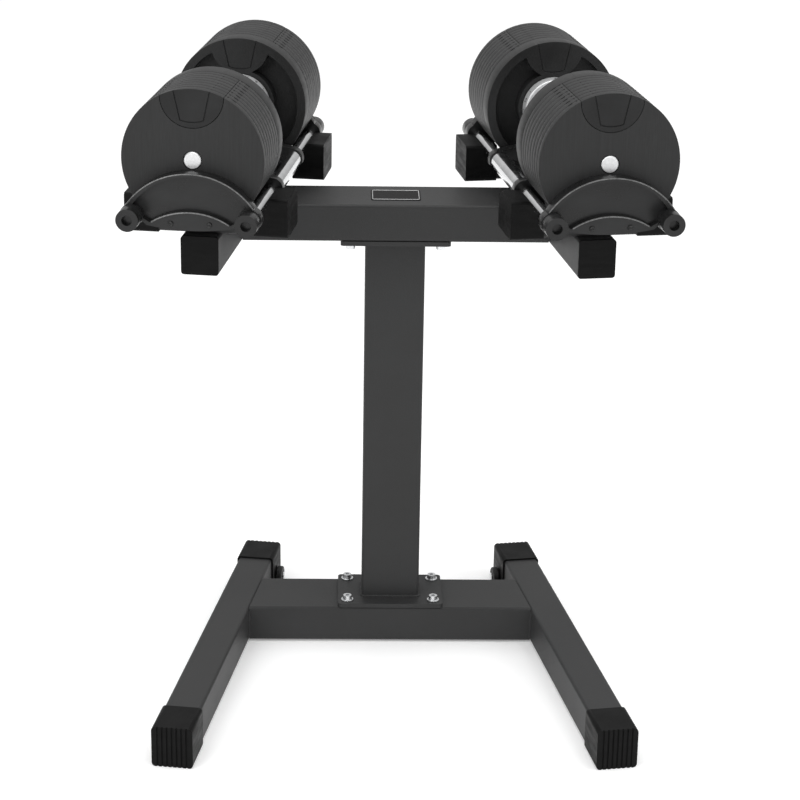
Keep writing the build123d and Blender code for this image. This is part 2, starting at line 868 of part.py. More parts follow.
def dial_rings(side, name):
    """A ring on each end of the grip, which also runs on the casting's spigot."""
    with BuildPart() as rings:
        for end in ENDS.values():
            with BuildSketch(axis_plane(side, end, dial_inner)):
                Circle(dial_radius)
                Circle(grip_radius, mode=Mode.SUBTRACT)
            extrude(amount=dial_outer - dial_inner)
            with BuildSketch(axis_plane(side, end, grip_half_length)):
                Circle(spigot_radius + spigot_clearance)
            extrude(amount=dial_outer - grip_half_length, mode=Mode.SUBTRACT)
        rims = rings.edges().filter_by(GeomType.CIRCLE).group_by(SortBy.RADIUS)[-1]
        fillet(rims, dial_fillet)
    save(rings, name)


def selector_spindle(side, name):
    """Twin-hand lead screw through both ends, tied to the grip by a disc at its middle."""
    with BuildPart() as spindle:
        with BuildSketch(axis_plane(side, REAR, -spindle_half_length)):
            Circle(spindle_radius)
        extrude(amount=2 * spindle_half_length)
        with BuildSketch(axis_plane(side, REAR, -spindle_web)):
            Circle(grip_bore)
        extrude(amount=2 * spindle_web)
    save(spindle, name)


def selector_bar(side, end, name):
    """Hollow bar that the spindle drives out through the plates, closed at its outer end."""
    with BuildPart() as bar:
        with BuildSketch(axis_plane(side, end, selector_outer)):
            Circle(selector_radius)
        extrude(amount=-selector_length)
        with BuildSketch(axis_plane(side, end, selector_outer - selector_length)):
            Circle(selector_bore_radius)
        extrude(amount=selector_length - selector_end, mode=Mode.SUBTRACT)
        outer_face = bar.faces().sort_by(Axis(
            side_point(side, rest_inset, cradle_centre, axis_height), rear_direction(side)
        ))[-1 if end == REAR else 0]
        chamfer(outer_face.edges(), selector_chamfer)
    save(bar, name)


for side_name, side in BARS.items():
    plate_inserts(side, f"{side_name}_plate_inserts")
    lock_plunger(side, f"{side_name}_lock_plunger")
    grip(side, f"{side_name}_grip")
    dial_rings(side, f"{side_name}_dial_rings")
    selector_spindle(side, f"{side_name}_selector_spindle")
    for end_name, end in ENDS.items():
        weight_plates(side, end, f"{side_name}_{end_name}_plates")
        end_casting(side, end, f"{side_name}_{end_name}_casting")
        selector_bar(side, end, f"{side_name}_{end_name}_selector_bar")

# ---- Strikes on the front rests, which push the lock plungers up ------------------------------------------
strike_height = axis_height - weight_radius - plunger_proud - strike_gap - rest_top
with BuildPart() as lock_strikes:
    for side in BARS.values():
        strike_rearward = cradle_centre + FRONT * plunger_distance
        with BuildSketch(level_plane(side, rest_inset, strike_rearward, rest_top)):
            Rectangle(strike_width, strike_length)
        extrude(amount=strike_height)
save(lock_strikes, "lock_strikes")
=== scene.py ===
import json
from math import asin, cos, pi, radians, sin

import bmesh
import bpy
from mathutils import Matrix, Vector


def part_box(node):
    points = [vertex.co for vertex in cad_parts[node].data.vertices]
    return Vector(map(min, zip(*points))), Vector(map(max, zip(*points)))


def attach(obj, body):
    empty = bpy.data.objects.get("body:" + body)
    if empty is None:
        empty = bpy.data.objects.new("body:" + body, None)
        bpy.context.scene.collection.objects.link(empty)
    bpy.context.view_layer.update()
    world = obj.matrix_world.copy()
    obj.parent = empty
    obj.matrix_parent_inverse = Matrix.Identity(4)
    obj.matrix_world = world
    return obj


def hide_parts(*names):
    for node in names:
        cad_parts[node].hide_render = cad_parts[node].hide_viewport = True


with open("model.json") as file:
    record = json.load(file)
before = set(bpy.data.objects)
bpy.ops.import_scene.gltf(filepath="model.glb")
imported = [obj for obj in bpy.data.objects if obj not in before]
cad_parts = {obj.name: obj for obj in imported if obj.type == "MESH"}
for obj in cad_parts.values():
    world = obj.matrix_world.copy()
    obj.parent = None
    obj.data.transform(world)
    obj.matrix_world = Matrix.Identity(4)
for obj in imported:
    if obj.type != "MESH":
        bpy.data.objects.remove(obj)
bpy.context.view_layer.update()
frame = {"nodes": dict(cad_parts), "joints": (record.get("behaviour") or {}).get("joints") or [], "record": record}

NODES = frame["nodes"]
MM = 0.001
UP = Vector((0, 0, 1))
SIDES = ("left", "right")
ENDS = {"front": -1, "rear": 1}


# ---- Places, all read from the frame -----------------------------------------------------------
class Axis:
    """A dumbbell's own frame: its middle, the way to the rear along it, and the way across."""

    def __init__(self, side):
        joint = next(j for j in frame["joints"] if j["name"] == f"{side}_grip_twist")
        self.middle = Vector(joint["pos_m"])
        self.rear = Vector(joint["axis"]).normalized()
        self.across = self.rear.cross(UP).normalized()

    def point(self, along, across, height):
        """A point from its distance along the axis, across it and above it."""
        return self.middle + self.rear * along + self.across * across + UP * height

    def polar(self, along, radius, angle):
        """A point on a circle round the axis; angle 0 is at the top."""
        return self.point(along, radius * sin(angle), radius * cos(angle))

    def reach(self, node):
        """Lowest and highest distance of a CAD node along the axis."""
        places = [(v.co - self.middle).dot(self.rear) for v in NODES[node].data.vertices]
        return min(places), max(places)

    def radii(self, node):
        """Smallest and largest distance of a CAD node's points from the axis."""
        found = []
        for vertex in NODES[node].data.vertices:
            out = vertex.co - self.middle
            found.append((out - self.rear * out.dot(self.rear)).length)
        return min(found), max(found)


AXES = {side: Axis(side) for side in SIDES}


# ---- Material building blocks ------------------------------------------------------------------
class Paint:
    """A node material on object coordinates, with its Principled shader."""

    # The mix node's sockets for two colours and their blend, which share names with its others.
    MIX_LOW = 6
    MIX_HIGH = 7
    MIX_RESULT = 2

    def __init__(self, name, metallic=0.0, specular=0.5, coat=0.0, coat_roughness=0.1):
        self.material = bpy.data.materials.new(name)
        self.material.use_nodes = True
        self.tree = self.material.node_tree
        self.shader = self.tree.nodes["Principled BSDF"]
        self.shader.inputs["Metallic"].default_value = metallic
        self.shader.inputs["Specular IOR Level"].default_value = specular
        self.shader.inputs["Coat Weight"].default_value = coat
        self.shader.inputs["Coat Roughness"].default_value = coat_roughness
        self.coords = self.tree.nodes.new("ShaderNodeTexCoord").outputs["Object"]

    def link(self, source, target):
        self.tree.links.new(source, target)

    def noise(self, scale, detail=3.0, stretch=(1, 1, 1)):
        """Noise per metre; stretch multiplies the frequency on each axis."""
        mapping = self.tree.nodes.new("ShaderNodeMapping")
        mapping.inputs["Scale"].default_value = stretch
        self.link(self.coords, mapping.inputs["Vector"])
        noise = self.tree.nodes.new("ShaderNodeTexNoise")
        noise.inputs["Scale"].default_value = scale
        noise.inputs["Detail"].default_value = detail
        self.link(mapping.outputs["Vector"], noise.inputs["Vector"])
        return noise.outputs["Fac"]

    def cells(self, scale):
        """Distance to the nearest point of a random field, for pits and grain."""
        texture = self.tree.nodes.new("ShaderNodeTexVoronoi")
        texture.inputs["Scale"].default_value = scale
        self.link(self.coords, texture.inputs["Vector"])
        return texture.outputs["Distance"]

    def ramp(self, factor, *stops):
        """Colour ramp from (place, colour) stops."""
        ramp = self.tree.nodes.new("ShaderNodeValToRGB")
        elements = ramp.color_ramp.elements
        while len(elements) < len(stops):
            elements.new(0.5)
        for element, (place, colour) in zip(elements, stops):
            element.position = place
            element.color = (*colour, 1)
        self.link(factor, ramp.inputs["Fac"])
        return ramp.outputs["Color"]

    def spread(self, factor, low, high, start=0.3, stop=0.7):
        """Maps a factor to the range low to high."""
        node = self.tree.nodes.new("ShaderNodeMapRange")
        node.inputs["From Min"].default_value = start
        node.inputs["From Max"].default_value = stop
        node.inputs["To Min"].default_value = low
        node.inputs["To Max"].default_value = high
        self.link(factor, node.inputs["Value"])
        return node.outputs["Result"]

    def blend(self, factor, low, high):
        """Mixes two colour outputs by a factor."""
        mix = self.tree.nodes.new("ShaderNodeMix")
        mix.data_type = "RGBA"
        self.link(factor, mix.inputs["Factor"])
        self.link(low, mix.inputs[self.MIX_LOW])
        self.link(high, mix.inputs[self.MIX_HIGH])
        return mix.outputs[self.MIX_RESULT]

    def colour(self, output):
        """Feeds the shader's colour."""
        self.link(output, self.shader.inputs["Base Color"])

    def roughness(self, output):
        """Feeds the shader's roughness."""
        self.link(output, self.shader.inputs["Roughness"])

    def bump(self, *layers):
        """Stacks bump layers, each (height output, strength, depth in metres)."""
        normal = None
        for height, strength, depth in layers:
            node = self.tree.nodes.new("ShaderNodeBump")
            node.inputs["Strength"].default_value = strength
            node.inputs["Distance"].default_value = depth
            self.link(height, node.inputs["Height"])
            if normal is not None:
                self.link(normal, node.inputs["Normal"])
            normal = node.outputs["Normal"]
        self.link(normal, self.shader.inputs["Normal"])


def grey(value, tint=0.0):
    """Linear grey with a slight blue tint."""
    return (value, value * (1 + tint / 2), value * (1 + tint))


def powder_coat():
    """Dark grey powder coat: fine orange peel, slightly uneven gloss."""
    paint = Paint("powder_coat", specular=0.23)
    patches = paint.noise(7, 4)
    peel = paint.noise(520, 3)
    sparkle = paint.cells(1500)
    base = paint.ramp(patches, (0.3, grey(0.0295)), (0.7, grey(0.036, 0.03)))
    flecks = paint.ramp(sparkle, (0.0, grey(0.06)), (0.25, grey(0.03)))
    paint.colour(paint.blend(paint.spread(peel, 0.0, 0.35), base, flecks))
    paint.roughness(paint.spread(patches, 0.44, 0.56))
    paint.bump((peel, 0.35, 0.0004), (sparkle, 0.12, 0.0002))
    return paint.material


def cap_plastic():
    """Near-black moulded polyethylene with a fine spark-eroded grain and scuffs."""
    paint = Paint("cap_plastic", specular=0.1)
    grain = paint.cells(900)
    scuffs = paint.noise(30, 6, (1, 1, 5))
    paint.colour(paint.ramp(scuffs, (0.35, grey(0.0035)), (0.75, grey(0.008))))
    paint.roughness(paint.spread(scuffs, 0.42, 0.62))
    paint.bump((grain, 0.3, 0.0003), (scuffs, 0.1, 0.0004))
    return paint.material


def cradle_plastic():
    """Semi-gloss black moulding: slight flow marks and finger wear."""
    paint = Paint("cradle_plastic", specular=0.32, coat=0.1, coat_roughness=0.2)
    flow = paint.noise(18, 5, (1, 1, 2.5))
    grain = paint.noise(1100, 2)
    paint.colour(paint.ramp(flow, (0.3, grey(0.008)), (0.75, grey(0.016, 0.04))))
    paint.roughness(paint.spread(flow, 0.24, 0.4))
    paint.bump((flow, 0.12, 0.0008), (grain, 0.12, 0.0002))
    return paint.material


def roller_plastic():
    """Hard black wheel plastic, dusty on the tread."""
    paint = Paint("roller_plastic", specular=0.35)
    dust = paint.noise(120, 5)
    paint.colour(paint.ramp(dust, (0.4, grey(0.008)), (0.8, grey(0.032))))
    paint.roughness(paint.spread(dust, 0.4, 0.65))
    paint.bump((paint.cells(1200), 0.2, 0.0002),)
    return paint.material


def chrome():
    """Polished chrome with faint handling marks."""
    paint = Paint("chrome", metallic=1.0)
    marks = paint.noise(60, 6)
    fine = paint.noise(900, 2)
    paint.colour(paint.ramp(marks, (0.3, grey(0.74, 0.02)), (0.7, grey(0.84, 0.015))))
    paint.roughness(paint.spread(marks, 0.07, 0.2))
    paint.bump((fine, 0.04, 0.0002),)
    return paint.material


def zinc_steel():
    """Bright zinc plate: mottled, with a fine crystalline grain."""
    paint = Paint("zinc_steel", metallic=1.0)
    mottle = paint.noise(260, 5)
    paint.colour(paint.ramp(mottle, (0.3, grey(0.58, 0.03)), (0.7, grey(0.78, 0.02))))
    paint.roughness(paint.spread(mottle, 0.2, 0.38))
    paint.bump((paint.cells(1700), 0.15, 0.0002),)
    return paint.material


def black_screw():
    """Black oxide on steel, rubbed brighter in places."""
    paint = Paint("black_screw", metallic=0.6)
    patch_noise = paint.noise(500, 4)
    paint.colour(paint.ramp(patch_noise, (0.4, grey(0.015)), (0.8, grey(0.07))))
    paint.roughness(paint.spread(patch_noise, 0.3, 0.5))
    paint.bump((patch_noise, 0.1, 0.0002),)
    return paint.material


def casting_iron():
    """Black painted iron casting: soft sand texture under satin paint."""
    paint = Paint("casting_iron", specular=0.3)
    sand = paint.noise(420, 5)
    patches = paint.noise(14, 4)
    paint.colour(paint.ramp(patches, (0.3, grey(0.009)), (0.7, grey(0.017, 0.03))))
    paint.roughness(paint.spread(patches, 0.38, 0.52))
    paint.bump((sand, 0.4, 0.0005), (paint.cells(700), 0.15, 0.0003))
    return paint.material


def weight_coating():
    """E-coated plates: faint upright brush marks on faces and rims, dulled in patches."""
    paint = Paint("weight_coating", specular=0.26)
    brush = paint.noise(10, 6, (45, 45, 1.2))
    fine = paint.noise(30, 3, (60, 60, 2))
    patches = paint.noise(12, 4)
    shade = paint.ramp(brush, (0.25, grey(0.0165)), (0.75, grey(0.027, 0.02)))
    worn = paint.ramp(fine, (0.3, grey(0.018)), (0.8, grey(0.031, 0.02)))
    paint.colour(paint.blend(paint.spread(patches, 0.1, 0.8), shade, worn))
    paint.roughness(paint.spread(brush, 0.4, 0.54))
    paint.bump((brush, 0.1, 0.0004), (fine, 0.08, 0.0002))
    return paint.material


def insert_coating():
    """Smoother black insert with a fine grain."""
    paint = Paint("insert_coating", specular=0.24)
    patches = paint.noise(25, 4)
    paint.colour(paint.ramp(patches, (0.3, grey(0.012)), (0.7, grey(0.019, 0.03))))
    paint.roughness(paint.spread(patches, 0.4, 0.52))
    paint.bump((paint.cells(900), 0.2, 0.0002),)
    return paint.material


def knurled_steel():
    """Satin chrome over knurling, darker where the hand has worn it."""
    paint = Paint("knurled_steel", metallic=0.9)
    grime = paint.noise(25, 3)
    paint.colour(paint.ramp(grime, (0.3, grey(0.5, 0.02)), (0.7, grey(0.6, 0.02))))
    paint.roughness(paint.spread(grime, 0.36, 0.46))
    paint.bump((paint.noise(1300, 2), 0.04, 0.0001),)
    return paint.material


def dial_silver():
    """Satin silver dial ring with fine lathe lines."""
    paint = Paint("dial_silver", metallic=0.55)
    lines = paint.noise(10, 4, (6, 160, 6))
    mottle = paint.noise(30, 2)
    paint.colour(paint.ramp(lines, (0.3, grey(0.66, 0.015)), (0.7, grey(0.76, 0.015))))
    paint.roughness(paint.spread(mottle, 0.34, 0.5))
    paint.bump((lines, 0.08, 0.0003),)
    return paint.material


def selector_steel():
    """Bright turned steel with uneven polish."""
    paint = Paint("selector_steel", metallic=1.0)
    mottle = paint.noise(320, 5)
    paint.colour(paint.ramp(mottle, (0.3, grey(0.68, 0.01)), (0.7, grey(0.86, 0.01))))
    paint.roughness(paint.spread(mottle, 0.3, 0.46))
    paint.bump((paint.noise(900, 3), 0.12, 0.0002),)
    return paint.material


def badge_black():
    """Printed matt black plate."""
    paint = Paint("badge", specular=0.15)
    print_grain = paint.noise(900, 3)
    paint.colour(paint.ramp(print_grain, (0.3, grey(0.004)), (0.7, grey(0.008))))
    paint.roughness(paint.spread(print_grain, 0.5, 0.62))
    paint.bump((print_grain, 0.06, 0.0002),)
    return paint.material


def bead_painted_highlight():
    """Cradle moulding on its raised edges, coloured pale as a painted highlight along them, varied in patches."""
    paint = Paint("bead_painted_highlight", specular=0.6, coat=0.3, coat_roughness=0.2)
    patch_noise = paint.noise(240, 4)
    # Painted highlight: these pale greys stand in for light caught along the raised edges.
    paint.colour(paint.ramp(patch_noise, (0.3, grey(0.07)), (0.7, grey(0.15))))
    paint.roughness(paint.spread(patch_noise, 0.22, 0.36))
    paint.bump((patch_noise, 0.1, 0.0002),)
    return paint.material


def key_black():
    """Deep black of the keys between the plates."""
    paint = Paint("key_black", specular=0.15)
    grain = paint.noise(700, 3)
    paint.colour(paint.ramp(grain, (0.3, grey(0.003)), (0.7, grey(0.006))))
    paint.roughness(paint.spread(grain, 0.5, 0.7))
    paint.bump((grain, 0.1, 0.0001),)
    return paint.material


def number_ink():
    """Black enamel in the dial's number marks."""
    paint = Paint("number_ink", specular=0.4)
    speckle = paint.noise(1200, 3)
    paint.colour(paint.ramp(speckle, (0.3, grey(0.01)), (0.7, grey(0.022))))
    paint.roughness(paint.spread(speckle, 0.4, 0.55))
    paint.bump((speckle, 0.1, 0.0001),)
    return paint.material


MATERIALS = {
    "powder_coat": powder_coat(),
    "cap_plastic": cap_plastic(),
    "cradle_plastic": cradle_plastic(),
    "roller_plastic": roller_plastic(),
    "chrome": chrome(),
    "zinc_steel": zinc_steel(),
    "black_screw": black_screw(),
    "casting_iron": casting_iron(),
    "weight_coating": weight_coating(),
    "insert_coating": insert_coating(),
    "knurled_steel": knurled_steel(),
    "dial_silver": dial_silver(),
    "selector_steel": selector_steel(),
    "badge": badge_black(),
}
NUMBER_INK = number_ink()
# Pale bead finish: a painted highlight along the cradle brackets' edges.
BEAD_PAINTED_HIGHLIGHT = bead_painted_highlight()
KEY_BLACK = key_black()


# ---- CAD nodes keep their shape and get the finished materials ---------------------------------
def finish_nodes():
    """Gives every CAD node the material of its record slot."""
    for row in frame["record"]["subparts"]:
        slots = NODES[row["node"]].data.materials
        slots.clear()
        slots.append(MATERIALS[row["material_slot"]])


# Rounding of sharp edges in millimetres, by node, and by node on each side.
EDGE_WIDTHS = {
    "column_base_plate": 1.0,
    "column_top_plate": 1.0,
    "badge_plate": 0.3,
    "frame_washers": 0.3,
}
SIDE_EDGE_WIDTHS = {
    "front_foot_cap": 0.6,
    "rear_foot_cap": 0.6,
    "rest_blocks": 1.2,
    "rod_knobs": 1.6,
    "mid_brackets": 1.6,
    "front_bracket": 1.4,
    "rear_bracket": 1.4,
    "front_plates": 0.4,
    "rear_plates": 0.4,
    "plate_inserts": 0.35,
    "front_casting": 1.0,
    "rear_casting": 1.0,
}
EDGE_ANGLE = radians(40)
EDGE_SEGMENTS = 3
WELD_DISTANCE = 0.002 * MM


def round_edges():
    """Rounds the sharp edges of moulded and cast nodes with modifiers."""
    widths = dict(EDGE_WIDTHS)
    for side in SIDES:
        for name, width in SIDE_EDGE_WIDTHS.items():
            widths[f"{side}_{name}"] = width
    for name, width in widths.items():
        node = NODES[name]
        weld = node.modifiers.new("join", "WELD")
        weld.merge_threshold = WELD_DISTANCE
        bevel = node.modifiers.new("round", "BEVEL")
        bevel.width = width * MM
        bevel.segments = EDGE_SEGMENTS
        bevel.limit_method = "ANGLE"
        bevel.angle_limit = EDGE_ANGLE
        bevel.harden_normals = True


# ---- Mesh helpers ------------------------------------------------------------------------------
def make_piece(name, mesh_data, body, slot=None, material=None):
    """Links a bmesh as a piece that rides on a body, in a record slot's finish or its own."""
    bmesh.ops.recalc_face_normals(mesh_data, faces=mesh_data.faces)
    mesh = bpy.data.meshes.new(name)
    mesh_data.to_mesh(mesh)
    mesh_data.free()
    mesh.materials.append(material or MATERIALS[slot])
    for face in mesh.polygons:
        face.use_smooth = True
    mesh.set_sharp_from_angle(angle=EDGE_ANGLE)
    piece = bpy.data.objects.new(name, mesh)
    bpy.context.scene.collection.objects.link(piece)
    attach(piece, body)
    return piece


THIN_SIDES = 8


def sweep(mesh_data, points, radius_at, closed=False, sides=10):
    """Tube along a line of points; radius_at gives the radius at each point's number."""
    count = len(points)
    rings = []
    for number, point in enumerate(points):
        before = points[number - 1] if closed or number else point
        after = points[(number + 1) % count] if closed or number < count - 1 else point
        way = (after - before).normalized()
        first = way.orthogonal() if abs(way.dot(UP)) > 0.9 else way.cross(UP)
        first.normalize()
        second = way.cross(first).normalized()
        radius = radius_at(number)
        ring = []
        for step in range(sides):
            angle = 2 * pi * step / sides
            offset = first * cos(angle) + second * sin(angle)
            ring.append(mesh_data.verts.new(point + offset * radius))
        rings.append(ring)
    last = count if closed else count - 1
    for number in range(last):
        here, there = rings[number], rings[(number + 1) % count]
        for step in range(sides):
            onward = (step + 1) % sides
            mesh_data.faces.new((here[step], here[onward], there[onward], there[step]))
    if not closed:
        mesh_data.faces.new(rings[0])
        mesh_data.faces.new(rings[-1])


def spaced(corners, step, closed=False):
    """Evenly spaced points along straight runs between corners."""
    ends = corners[1:] + ([corners[0]] if closed else [])
    points = []
    for start, stop in zip(corners, ends):
        runs = max(1, round((stop - start).length / step))
        points += [start.lerp(stop, number / runs) for number in range(runs)]
    if not closed:
        points.append(corners[-1])
    return points


# ---- Weld beads on the frame -------------------------------------------------------------------
BEAD_RADIUS = 2.1 * MM
BEAD_STEP = 0.8 * MM
BEAD_RIPPLE = 4.8 * MM
BEAD_LEAST = 0.82                                  # share of the radius between two scallops
BEAD_SCALLOP = 0.2
BEAD_DRIFTS = ((0.08, 310, 0), (0.06, 127, 1))     # share, radians per metre, phase
BEAD_SINK = 0.4 * MM
COLUMN_CORNER = 4 * MM
BAR_WELD_INSET = 5 * MM
ON_THE_WALL = 0.05 * MM
CORNER_POINTS = 5


def bead_radius(number):
    """Scalloped like laid weld metal, and a little uneven along its length."""
    travel = number * BEAD_STEP
    scallop = abs(sin(pi * travel / BEAD_RIPPLE))
    drift = sum(share * sin(travel * rate + phase) for share, rate, phase in BEAD_DRIFTS)
    return BEAD_RADIUS * (BEAD_LEAST + BEAD_SCALLOP * scallop + drift)


def loop_round(low, high, height, corner):
    """Rounded rectangle of points at one height, between two corners of a box."""
    points = []
    centres = (
        (high.x - corner, high.y - corner, 0),
        (low.x + corner, high.y - corner, 1),
        (low.x + corner, low.y + corner, 2),
        (high.x - corner, low.y + corner, 3),
    )
    for x, y, quarter in centres:
        for step in range(CORNER_POINTS):
            angle = (quarter + step / (CORNER_POINTS - 1)) * pi / 2
            points.append(Vector((x + corner * cos(angle), y + corner * sin(angle), height)))
    return points


def column_welds():
    """Beads round both ends of the column, against its plates."""
    low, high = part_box("column")
    bead = bmesh.new()
    for height in (low.z + BEAD_SINK, high.z - BEAD_SINK):
        path = spaced(loop_round(low, high, height, COLUMN_CORNER), BEAD_STEP, closed=True)
        sweep(bead, path, bead_radius, closed=True)
    make_piece("column_welds", bead, "stand", "powder_coat")


def crossbar_welds(node, name):
    """Upright beads where a crossbar's walls meet the members at its ends."""
    low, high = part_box(node)
    bead = bmesh.new()
    bottom = low.z + BAR_WELD_INSET
    top = high.z - BAR_WELD_INSET
    for wall in (low.y, high.y):
        ends = [v.co.x for v in NODES[node].data.vertices if abs(v.co.y - wall) < ON_THE_WALL]
        for end in (min(ends), max(ends)):
            corners = [Vector((end, wall, bottom)), Vector((end, wall, top))]
            sweep(bead, spaced(corners, BEAD_STEP), bead_radius)
    make_piece(name, bead, "stand", "powder_coat")


# ---- Badge border ------------------------------------------------------------------------------
LINE_INSET = 2.2 * MM
LINE_CORNER = 2.5 * MM
LINE_RADIUS = 0.45 * MM


def badge_border():
    """Raised silver line inside the edge of the blank badge."""
    low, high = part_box("badge_plate")
    edge = Vector((LINE_INSET, LINE_INSET, 0))
    path = loop_round(low + edge, high - edge, high.z, LINE_CORNER)
    border = bmesh.new()
    sweep(border, path, lambda number: LINE_RADIUS, closed=True, sides=THIN_SIDES)
    make_piece("badge_border", border, "stand", "dial_silver")


# ---- Cradle brackets: moulded edge beads, pale as a painted highlight --------------------------
# Heights are above the rods' axes.
ARCH_HALF_WIDTH = 78 * MM
ARCH_SHOULDER = 14.4 * MM
ARCH_INSET = 0.9 * MM
ARCH_STEPS = 48
ARCH_BEAD = 0.85 * MM
DISH_HALF_WIDTH = 48 * MM
DISH_SHOULDER = -6.5 * MM
DISH_CROWN = 7.2 * MM
DISH_STEPS = 36
DISH_BEAD = 0.95 * MM


def arc_through(half_width, side_height, crown, steps):
    """(across, height) points on the circle arc through both shoulders and the crown."""
    rise = crown - side_height
    radius = (half_width**2 + rise**2) / (2 * rise)
    half_angle = asin(min(1.0, half_width / radius))
    if rise > radius:
        half_angle = pi - half_angle
    centre = crown - radius
    angles = [half_angle * (2 * step / steps - 1) for step in range(steps + 1)]
    return [(radius * sin(angle), centre + radius * cos(angle)) for angle in angles]


def edge_points(axis, along, rod_drop, outline):
    """Places an outline given over the rods on the bracket's face."""
    return [axis.point(along, across, height - rod_drop) for across, height in outline]


def bracket_beads(side):
    """Thin raised beads along the upper edge and the dish's lower edge of each end bracket, pale as a painted
    highlight.
    """
    axis = AXES[side]
    rods_low, rods_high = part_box("cradle_rods")
    rod_height = (rods_low.z + rods_high.z) / 2
    rod_drop = axis.middle.z - rod_height
    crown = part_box(f"{side}_front_bracket")[1].z - rod_height
    arch = arc_through(ARCH_HALF_WIDTH, ARCH_SHOULDER, crown - ARCH_INSET, ARCH_STEPS)
    dish = arc_through(DISH_HALF_WIDTH, DISH_SHOULDER, DISH_CROWN, DISH_STEPS)
    beads = bmesh.new()
    for end_name, end in ENDS.items():
        reach = axis.reach(f"{side}_{end_name}_bracket")
        face = reach[0] if end < 0 else reach[1]
        for outline, radius in ((arch, ARCH_BEAD), (dish, DISH_BEAD)):
            path = edge_points(axis, face, rod_drop, outline)
            sweep(beads, path, lambda number, size=radius: size, sides=THIN_SIDES)
    # The beads' pale colour is a painted highlight of light along the brackets' edges.
    make_piece(f"{side}_bracket_beads", beads, "stand", material=BEAD_PAINTED_HIGHLIGHT)


# ---- Knurled grip ------------------------------------------------------------------------------
KNURL_AROUND = 40
KNURL_DEPTH = 0.45 * MM
KNURL_STEPS = 4
KNURL_FADE = 5 * MM


def triangle(value):
    """Zigzag between 0 and 1 with period 1."""
    part = value % 1.0
    return 2 * part if part < 0.5 else 2 - 2 * part


def knurled_grip(side):
    """Grip tube with a cut diamond knurl that fades out to plain bands at both ends."""
    axis = AXES[side]
    node = f"{side}_grip"
    start, stop = axis.reach(node)
    bore, radius = axis.radii(node)
    pitch = 2 * pi * radius / KNURL_AROUND
    around = KNURL_AROUND * KNURL_STEPS
    rows = round((stop - start) / pitch * KNURL_STEPS)
    grip = bmesh.new()

    def ring(along, radius_at):
        made = []
        for step in range(around):
            angle = 2 * pi * step / around
            made.append(grip.verts.new(axis.polar(along, radius_at(step, along), angle)))
        return made

    def knurled(step, along):
        fade = min(along - start, stop - along) / KNURL_FADE - 1
        if fade <= 0:
            return radius
        turn = KNURL_AROUND * step / around / 2
        travel = along / pitch / 2
        diamond = max(triangle(turn + travel), triangle(turn - travel))
        return radius - min(1.0, fade) * KNURL_DEPTH * diamond

    rings = [ring(start, lambda step, along: bore)]
    rings += [ring(start + (stop - start) * row / rows, knurled) for row in range(rows + 1)]
    rings.append(ring(stop, lambda step, along: bore))
    for here, there in zip(rings, rings[1:] + rings[:1]):
        for step in range(around):
            onward = (step + 1) % around
            grip.faces.new((here[step], here[onward], there[onward], there[step]))
    piece = make_piece(f"{side}_knurled_grip", grip, f"{side}_handle", "knurled_steel")
    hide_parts(node)


# ---- Dial numbers ------------------------------------------------------------------------------
DIAL_STEP = radians(36)
DIAL_PLACES = 9
KILOS_PER_STEP = 4
NUMBER_HEIGHT = 7.5 * MM
NUMBER_RAISE = 0.12 * MM
RING_WIDTH = 19.7 * MM
TICK_HALF = 3 * MM
TICK_RADIUS = 0.4 * MM
TICK_SINK = 0.2 * MM


def number_mesh(text):
    """Flat mesh of a number, centred, lying in X and Y."""
    curve = bpy.data.curves.new("number", "FONT")
    curve.body = text
    curve.size = NUMBER_HEIGHT
    curve.extrude = NUMBER_RAISE
    curve.align_x = "CENTER"
    curve.align_y = "CENTER"
    holder = bpy.data.objects.new("number", curve)
    bpy.context.scene.collection.objects.link(holder)
    graph = bpy.context.evaluated_depsgraph_get()
    mesh = bpy.data.meshes.new_from_object(holder.evaluated_get(graph))
    bpy.data.objects.remove(holder)
    return mesh


def wrap_number(marks, axis, text, along, radius, turn):
    """Adds a number bent round the dial's rim to the marks."""
    mesh = number_mesh(text)
    mark = bmesh.new()
    mark.from_mesh(mesh)
    bmesh.ops.subdivide_edges(mark, edges=mark.edges, cuts=1)
    for vertex in mark.verts:
        x, y, z = vertex.co
        vertex.co = axis.polar(along + y, radius + z, turn + x / radius)
    mark.to_mesh(mesh)
    mark.free()
    marks.from_mesh(mesh)
    bpy.data.meshes.remove(mesh)


def dial_numbers(side):
    """Weights in kilograms round both dial rings, with a tick between each two."""
    axis = AXES[side]
    node = f"{side}_dial_rings"
    reach = axis.reach(node)
    radius = axis.radii(node)[1]
    marks = bmesh.new()
    for end in ENDS.values():
        outer = reach[0] if end < 0 else reach[1]
        middle = outer - end * RING_WIDTH / 2
        for place in range(DIAL_PLACES):
            text = str(KILOS_PER_STEP * (place + 1))
            wrap_number(marks, axis, text, middle, radius, end * DIAL_STEP * place)
            tick = end * DIAL_STEP * (place + 0.5)
            stops = (middle - TICK_HALF, middle, middle + TICK_HALF)
            path = [axis.polar(along, radius - TICK_SINK, tick) for along in stops]
            sweep(marks, path, lambda number: TICK_RADIUS, sides=THIN_SIDES)
    make_piece(f"{side}_dial_numbers", marks, f"{side}_handle", material=NUMBER_INK)


# ---- Interlocking keys on the plates' rims -----------------------------------------------------
PLATES_PER_END = 8
PLATE_GAP = 0.6 * MM
KEY_DEPTH = 1.5 * MM
KEY_LIFT = 0.3 * MM
KEY_TAPER = 0.85
# Angle from the top of the rim, half size round the rim, half size along the axis.
KEY_SHAPES = (
    (radians(28.9), 0.9 * MM, 1.5 * MM),
    (radians(34.5), 3.4 * MM, 1.0 * MM),
)


